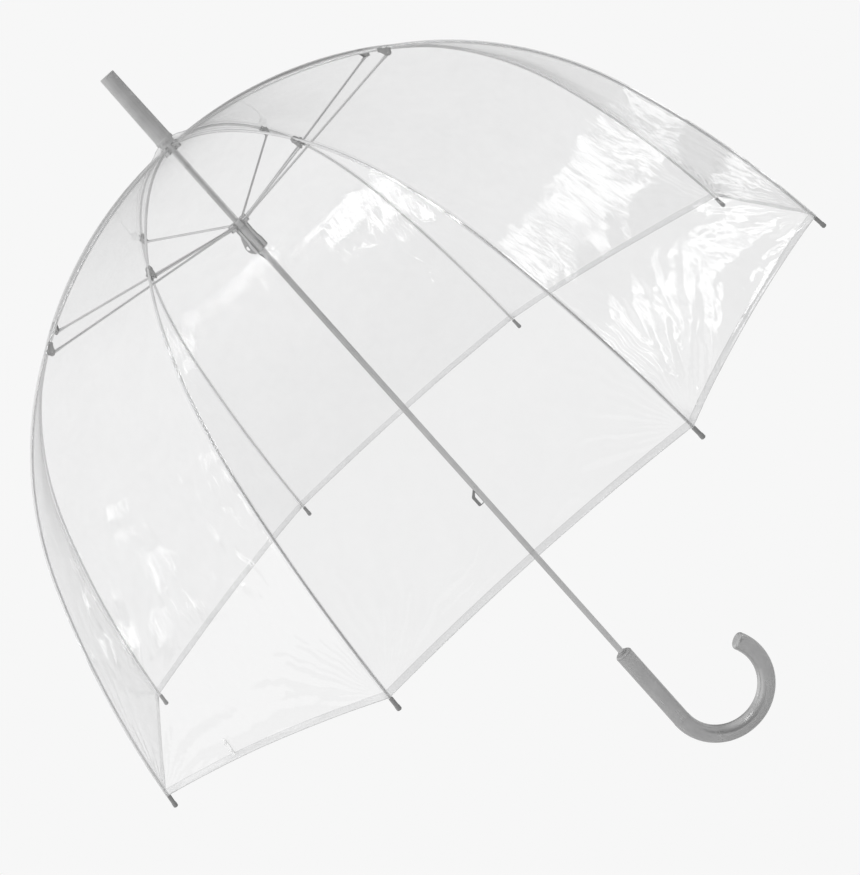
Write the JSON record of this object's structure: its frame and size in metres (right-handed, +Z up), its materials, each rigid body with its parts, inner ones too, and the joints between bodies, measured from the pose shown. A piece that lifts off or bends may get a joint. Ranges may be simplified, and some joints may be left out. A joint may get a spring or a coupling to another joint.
{
  "type": "dome umbrella",
  "caption": "Clear dome umbrella with a deep see-through canopy on wire ribs and stretchers, a sliding runner with spring catches, a slim steel shaft, a long ferrule and a hooked handle.",
  "frame": {"origin": "on the shaft axis at the middle of the straight grip", "axes": "+Z up along the shaft to the ferrule, +X towards the side the hook curves to, ribs at 22.5 degrees and every 45 degrees on"},
  "size_m": [0.7808, 0.7808, 0.8995],
  "materials": {
    "clear_film": "gloss",
    "strap_film": "gloss",
    "rib_wire": "satin",
    "stretcher_wire": "satin",
    "shaft_steel": "polished",
    "catch_spring": "satin",
    "runner_plastic": "satin",
    "ferrule_plastic": "satin",
    "grip_plastic": "satin",
    "tip_plastic": "satin"
  },
  "bodies": {
    "frame": {"ferrule": "ferrule_plastic", "canopy_washer": "runner_plastic", "top_notch": "runner_plastic", "notch_wire": "rib_wire", "shaft": "shaft_steel", "catch_pins": "shaft_steel", "handle": "grip_plastic", "handle_collar": "ferrule_plastic"},
    "runner": {"runner": "runner_plastic"},
    "top_catch": {"top_catch": "catch_spring"},
    "bottom_catch": {"bottom_catch": "catch_spring"},
    "rib_upper_1": {"rib_upper_1": "rib_wire"},
    "rib_lower_1": {"rib_lower_1": "rib_wire", "rib_tip_1": "tip_plastic"},
    "stretcher_1": {"stretcher_1": "stretcher_wire"},
    "rib_upper_2": {"rib_upper_2": "rib_wire"},
    "rib_lower_2": {"rib_lower_2": "rib_wire", "rib_tip_2": "tip_plastic"},
    "stretcher_2": {"stretcher_2": "stretcher_wire"},
    "rib_upper_3": {"rib_upper_3": "rib_wire"},
    "rib_lower_3": {"rib_lower_3": "rib_wire", "rib_tip_3": "tip_plastic"},
    "stretcher_3": {"stretcher_3": "stretcher_wire"},
    "rib_upper_4": {"rib_upper_4": "rib_wire"},
    "rib_lower_4": {"rib_lower_4": "rib_wire", "rib_tip_4": "tip_plastic"},
    "stretcher_4": {"stretcher_4": "stretcher_wire"},
    "rib_upper_5": {"rib_upper_5": "rib_wire"},
    "rib_lower_5": {"rib_lower_5": "rib_wire", "rib_tip_5": "tip_plastic"},
    "stretcher_5": {"stretcher_5": "stretcher_wire"},
    "rib_upper_6": {"rib_upper_6": "rib_wire"},
    "rib_lower_6": {"rib_lower_6": "rib_wire", "rib_tip_6": "tip_plastic"},
    "stretcher_6": {"stretcher_6": "stretcher_wire"},
    "rib_upper_7": {"rib_upper_7": "rib_wire"},
    "rib_lower_7": {"rib_lower_7": "rib_wire", "rib_tip_7": "tip_plastic"},
    "stretcher_7": {"stretcher_7": "stretcher_wire"},
    "rib_upper_8": {"rib_upper_8": "rib_wire"},
    "rib_lower_8": {"rib_lower_8": "rib_wire", "rib_tip_8": "tip_plastic"},
    "stretcher_8": {"stretcher_8": "stretcher_wire"},
    "panel_upper_1": {"canopy_upper_1": "clear_film"},
    "panel_lower_1": {"canopy_lower_1": "clear_film"},
    "panel_upper_2": {"canopy_upper_2": "clear_film"},
    "panel_lower_2": {"canopy_lower_2": "clear_film"},
    "panel_upper_3": {"canopy_upper_3": "clear_film"},
    "panel_lower_3": {"canopy_lower_3": "clear_film"},
    "panel_upper_4": {"canopy_upper_4": "clear_film"},
    "panel_lower_4": {"canopy_lower_4": "clear_film"},
    "panel_upper_5": {"canopy_upper_5": "clear_film"},
    "panel_lower_5": {"canopy_lower_5": "clear_film", "closing_strap": "strap_film"},
    "panel_upper_6": {"canopy_upper_6": "clear_film"},
    "panel_lower_6": {"canopy_lower_6": "clear_film"},
    "panel_upper_7": {"canopy_upper_7": "clear_film"},
    "panel_lower_7": {"canopy_lower_7": "clear_film"},
    "panel_upper_8": {"canopy_upper_8": "clear_film"},
    "panel_lower_8": {"canopy_lower_8": "clear_film"}
  },
  "joints": [
    {"name": "runner_slide", "type": "slide", "parent": "frame", "child": "runner", "axis": [0, 0, -1], "range_m": [0, 0.3347], "deforming": ["canopy_upper_1", "canopy_upper_2", "canopy_upper_3", "canopy_upper_4", "canopy_upper_5", "canopy_upper_6", "canopy_upper_7", "canopy_upper_8", "canopy_lower_1", "canopy_lower_2", "canopy_lower_3", "canopy_lower_4", "canopy_lower_5", "canopy_lower_6", "canopy_lower_7", "canopy_lower_8"]},
    {"name": "rib_1_at_notch", "type": "hinge", "parent": "frame", "child": "rib_upper_1", "pos_m": [0.00739, 0.00306, 0.708], "axis": [-0.3827, 0.9239, 0], "range_deg": [0, 72.01]},
    {"name": "rib_1_bend", "type": "hinge", "parent": "rib_upper_1", "child": "rib_lower_1", "pos_m": [0.20295, 0.08407, 0.65009], "axis": [0.3827, -0.9239, 0], "range_deg": [0, 43.51]},
    {"name": "stretcher_1_at_rib", "type": "hinge", "parent": "rib_upper_1", "child": "stretcher_1", "pos_m": [0.20061, 0.0831, 0.64555], "axis": [0.3827, -0.9239, 0], "range_deg": [0, 153.51]},
    {"name": "rib_2_at_notch", "type": "hinge", "parent": "frame", "child": "rib_upper_2", "pos_m": [0.00306, 0.00739, 0.708], "axis": [-0.9239, 0.3827, 0], "range_deg": [0, 72.01]},
    {"name": "rib_2_bend", "type": "hinge", "parent": "rib_upper_2", "child": "rib_lower_2", "pos_m": [0.08407, 0.20295, 0.65009], "axis": [0.9239, -0.3827, 0], "range_deg": [0, 43.51]},
    {"name": "stretcher_2_at_rib", "type": "hinge", "parent": "rib_upper_2", "child": "stretcher_2", "pos_m": [0.0831, 0.20061, 0.64555], "axis": [0.9239, -0.3827, 0], "range_deg": [0, 153.51]},
    {"name": "rib_3_at_notch", "type": "hinge", "parent": "frame", "child": "rib_upper_3", "pos_m": [-0.00306, 0.00739, 0.708], "axis": [-0.9239, -0.3827, 0], "range_deg": [0, 72.01]},
    {"name": "rib_3_bend", "type": "hinge", "parent": "rib_upper_3", "child": "rib_lower_3", "pos_m": [-0.08407, 0.20295, 0.65009], "axis": [0.9239, 0.3827, 0], "range_deg": [0, 43.51]},
    {"name": "stretcher_3_at_rib", "type": "hinge", "parent": "rib_upper_3", "child": "stretcher_3", "pos_m": [-0.0831, 0.20061, 0.64555], "axis": [0.9239, 0.3827, 0], "range_deg": [0, 153.51]},
    {"name": "rib_4_at_notch", "type": "hinge", "parent": "frame", "child": "rib_upper_4", "pos_m": [-0.00739, 0.00306, 0.708], "axis": [-0.3827, -0.9239, 0], "range_deg": [0, 72.01]},
    {"name": "rib_4_bend", "type": "hinge", "parent": "rib_upper_4", "child": "rib_lower_4", "pos_m": [-0.20295, 0.08407, 0.65009], "axis": [0.3827, 0.9239, 0], "range_deg": [0, 43.51]},
    {"name": "stretcher_4_at_rib", "type": "hinge", "parent": "rib_upper_4", "child": "stretcher_4", "pos_m": [-0.20061, 0.0831, 0.64555], "axis": [0.3827, 0.9239, 0], "range_deg": [0, 153.51]},
    {"name": "rib_5_at_notch", "type": "hinge", "parent": "frame", "child": "rib_upper_5", "pos_m": [-0.00739, -0.00306, 0.708], "axis": [0.3827, -0.9239, 0], "range_deg": [0, 72.01]},
    {"name": "rib_5_bend", "type": "hinge", "parent": "rib_upper_5", "child": "rib_lower_5", "pos_m": [-0.20295, -0.08407, 0.65009], "axis": [-0.3827, 0.9239, 0], "range_deg": [0, 43.51]},
    {"name": "stretcher_5_at_rib", "type": "hinge", "parent": "rib_upper_5", "child": "stretcher_5", "pos_m": [-0.20061, -0.0831, 0.64555], "axis": [-0.3827, 0.9239, 0], "range_deg": [0, 153.51]},
    {"name": "rib_6_at_notch", "type": "hinge", "parent": "frame", "child": "rib_upper_6", "pos_m": [-0.00306, -0.00739, 0.708], "axis": [0.9239, -0.3827, 0], "range_deg": [0, 72.01]},
    {"name": "rib_6_bend", "type": "hinge", "parent": "rib_upper_6", "child": "rib_lower_6", "pos_m": [-0.08407, -0.20295, 0.65009], "axis": [-0.9239, 0.3827, 0], "range_deg": [0, 43.51]},
    {"name": "stretcher_6_at_rib", "type": "hinge", "parent": "rib_upper_6", "child": "stretcher_6", "pos_m": [-0.0831, -0.20061, 0.64555], "axis": [-0.9239, 0.3827, 0], "range_deg": [0, 153.51]},
    {"name": "rib_7_at_notch", "type": "hinge", "parent": "frame", "child": "rib_upper_7", "pos_m": [0.00306, -0.00739, 0.708], "axis": [0.9239, 0.3827, 0], "range_deg": [0, 72.01]},
    {"name": "rib_7_bend", "type": "hinge", "parent": "rib_upper_7", "child": "rib_lower_7", "pos_m": [0.08407, -0.20295, 0.65009], "axis": [-0.9239, -0.3827, 0], "range_deg": [0, 43.51]},
    {"name": "stretcher_7_at_rib", "type": "hinge", "parent": "rib_upper_7", "child": "stretcher_7", "pos_m": [0.0831, -0.20061, 0.64555], "axis": [-0.9239, -0.3827, 0], "range_deg": [0, 153.51]},
    {"name": "rib_8_at_notch", "type": "hinge", "parent": "frame", "child": "rib_upper_8", "pos_m": [0.00739, -0.00306, 0.708], "axis": [0.3827, 0.9239, 0], "range_deg": [0, 72.01]},
    {"name": "rib_8_bend", "type": "hinge", "parent": "rib_upper_8", "child": "rib_lower_8", "pos_m": [0.20295, -0.08407, 0.65009], "axis": [-0.3827, -0.9239, 0], "range_deg": [0, 43.51]},
    {"name": "stretcher_8_at_rib", "type": "hinge", "parent": "rib_upper_8", "child": "stretcher_8", "pos_m": [0.20061, -0.0831, 0.64555], "axis": [-0.3827, -0.9239, 0], "range_deg": [0, 153.51]},
    {"name": "panel_1_at_notch", "type": "hinge", "parent": "frame", "child": "panel_upper_1", "pos_m": [0.00523, 0.00523, 0.708], "axis": [-0.7071, 0.7071, 0], "range_deg": [0, 70.51]},
    {"name": "panel_1_bend", "type": "hinge", "parent": "panel_upper_1", "child": "panel_lower_1", "pos_m": [0.14351, 0.14351, 0.65009], "axis": [0.7071, -0.7071, 0], "range_deg": [0, 43.81]},
    {"name": "panel_2_at_notch", "type": "hinge", "parent": "frame", "child": "panel_upper_2", "pos_m": [0, 0.00739, 0.708], "axis": [-1, 0, 0], "range_deg": [0, 70.51]},
    {"name": "panel_2_bend", "type": "hinge", "parent": "panel_upper_2", "child": "panel_lower_2", "pos_m": [0, 0.20295, 0.65009], "axis": [1, 0, 0], "range_deg": [0, 43.81]},
    {"name": "panel_3_at_notch", "type": "hinge", "parent": "frame", "child": "panel_upper_3", "pos_m": [-0.00523, 0.00523, 0.708], "axis": [-0.7071, -0.7071, 0], "range_deg": [0, 70.51]},
    {"name": "panel_3_bend", "type": "hinge", "parent": "panel_upper_3", "child": "panel_lower_3", "pos_m": [-0.14351, 0.14351, 0.65009], "axis": [0.7071, 0.7071, 0], "range_deg": [0, 43.81]},
    {"name": "panel_4_at_notch", "type": "hinge", "parent": "frame", "child": "panel_upper_4", "pos_m": [-0.00739, 0, 0.708], "axis": [0, -1, 0], "range_deg": [0, 70.51]},
    {"name": "panel_4_bend", "type": "hinge", "parent": "panel_upper_4", "child": "panel_lower_4", "pos_m": [-0.20295, 0, 0.65009], "axis": [0, 1, 0], "range_deg": [0, 43.81]},
    {"name": "panel_5_at_notch", "type": "hinge", "parent": "frame", "child": "panel_upper_5", "pos_m": [-0.00523, -0.00523, 0.708], "axis": [0.7071, -0.7071, 0], "range_deg": [0, 70.51]},
    {"name": "panel_5_bend", "type": "hinge", "parent": "panel_upper_5", "child": "panel_lower_5", "pos_m": [-0.14351, -0.14351, 0.65009], "axis": [-0.7071, 0.7071, 0], "range_deg": [0, 43.81]},
    {"name": "panel_6_at_notch", "type": "hinge", "parent": "frame", "child": "panel_upper_6", "pos_m": [0, -0.00739, 0.708], "axis": [1, 0, 0], "range_deg": [0, 70.51]},
    {"name": "panel_6_bend", "type": "hinge", "parent": "panel_upper_6", "child": "panel_lower_6", "pos_m": [0, -0.20295, 0.65009], "axis": [-1, 0, 0], "range_deg": [0, 43.81]},
    {"name": "panel_7_at_notch", "type": "hinge", "parent": "frame", "child": "panel_upper_7", "pos_m": [0.00523, -0.00523, 0.708], "axis": [0.7071, 0.7071, 0], "range_deg": [0, 70.51]},
    {"name": "panel_7_bend", "type": "hinge", "parent": "panel_upper_7", "child": "panel_lower_7", "pos_m": [0.14351, -0.14351, 0.65009], "axis": [-0.7071, -0.7071, 0], "range_deg": [0, 43.81]},
    {"name": "panel_8_at_notch", "type": "hinge", "parent": "frame", "child": "panel_upper_8", "pos_m": [0.00739, 0, 0.708], "axis": [0, 1, 0], "range_deg": [0, 70.51]},
    {"name": "panel_8_bend", "type": "hinge", "parent": "panel_upper_8", "child": "panel_lower_8", "pos_m": [0.20295, 0, 0.65009], "axis": [0, -1, 0], "range_deg": [0, 43.81]},
    {"name": "top_catch_press", "type": "hinge", "parent": "frame", "child": "top_catch", "pos_m": [0, 0, 0.5655], "axis": [0, 1, 0], "range_deg": [0, 6.5], "stiffness_Nm_per_rad": 0.1, "springref_deg": -5.73},
    {"name": "bottom_catch_press", "type": "hinge", "parent": "frame", "child": "bottom_catch", "pos_m": [0, 0, 0.275], "axis": [0, -1, 0], "range_deg": [0, 7], "stiffness_Nm_per_rad": 0.1, "springref_deg": -5.73}
  ],
  "couplings": [
    {"joint": "rib_1_at_notch", "follows": "runner_slide", "rad_per_m": 3.7545},
    {"joint": "rib_1_bend", "follows": "runner_slide", "rad_per_m": 2.2684},
    {"joint": "stretcher_1_at_rib", "follows": "runner_slide", "rad_per_m": 8.0044},
    {"joint": "rib_2_at_notch", "follows": "runner_slide", "rad_per_m": 3.7545},
    {"joint": "rib_2_bend", "follows": "runner_slide", "rad_per_m": 2.2684},
    {"joint": "stretcher_2_at_rib", "follows": "runner_slide", "rad_per_m": 8.0044},
    {"joint": "rib_3_at_notch", "follows": "runner_slide", "rad_per_m": 3.7545},
    {"joint": "rib_3_bend", "follows": "runner_slide", "rad_per_m": 2.2684},
    {"joint": "stretcher_3_at_rib", "follows": "runner_slide", "rad_per_m": 8.0044},
    {"joint": "rib_4_at_notch", "follows": "runner_slide", "rad_per_m": 3.7545},
    {"joint": "rib_4_bend", "follows": "runner_slide", "rad_per_m": 2.2684},
    {"joint": "stretcher_4_at_rib", "follows": "runner_slide", "rad_per_m": 8.0044},
    {"joint": "rib_5_at_notch", "follows": "runner_slide", "rad_per_m": 3.7545},
    {"joint": "rib_5_bend", "follows": "runner_slide", "rad_per_m": 2.2684},
    {"joint": "stretcher_5_at_rib", "follows": "runner_slide", "rad_per_m": 8.0044},
    {"joint": "rib_6_at_notch", "follows": "runner_slide", "rad_per_m": 3.7545},
    {"joint": "rib_6_bend", "follows": "runner_slide", "rad_per_m": 2.2684},
    {"joint": "stretcher_6_at_rib", "follows": "runner_slide", "rad_per_m": 8.0044},
    {"joint": "rib_7_at_notch", "follows": "runner_slide", "rad_per_m": 3.7545},
    {"joint": "rib_7_bend", "follows": "runner_slide", "rad_per_m": 2.2684},
    {"joint": "stretcher_7_at_rib", "follows": "runner_slide", "rad_per_m": 8.0044},
    {"joint": "rib_8_at_notch", "follows": "runner_slide", "rad_per_m": 3.7545},
    {"joint": "rib_8_bend", "follows": "runner_slide", "rad_per_m": 2.2684},
    {"joint": "stretcher_8_at_rib", "follows": "runner_slide", "rad_per_m": 8.0044},
    {"joint": "panel_1_at_notch", "follows": "runner_slide", "rad_per_m": 3.6763},
    {"joint": "panel_1_bend", "follows": "runner_slide", "rad_per_m": 2.284},
    {"joint": "panel_2_at_notch", "follows": "runner_slide", "rad_per_m": 3.6763},
    {"joint": "panel_2_bend", "follows": "runner_slide", "rad_per_m": 2.284},
    {"joint": "panel_3_at_notch", "follows": "runner_slide", "rad_per_m": 3.6763},
    {"joint": "panel_3_bend", "follows": "runner_slide", "rad_per_m": 2.284},
    {"joint": "panel_4_at_notch", "follows": "runner_slide", "rad_per_m": 3.6763},
    {"joint": "panel_4_bend", "follows": "runner_slide", "rad_per_m": 2.284},
    {"joint": "panel_5_at_notch", "follows": "runner_slide", "rad_per_m": 3.6763},
    {"joint": "panel_5_bend", "follows": "runner_slide", "rad_per_m": 2.284},
    {"joint": "panel_6_at_notch", "follows": "runner_slide", "rad_per_m": 3.6763},
    {"joint": "panel_6_bend", "follows": "runner_slide", "rad_per_m": 2.284},
    {"joint": "panel_7_at_notch", "follows": "runner_slide", "rad_per_m": 3.6763},
    {"joint": "panel_7_bend", "follows": "runner_slide", "rad_per_m": 2.284},
    {"joint": "panel_8_at_notch", "follows": "runner_slide", "rad_per_m": 3.6763},
    {"joint": "panel_8_bend", "follows": "runner_slide", "rad_per_m": 2.284}
  ]
}
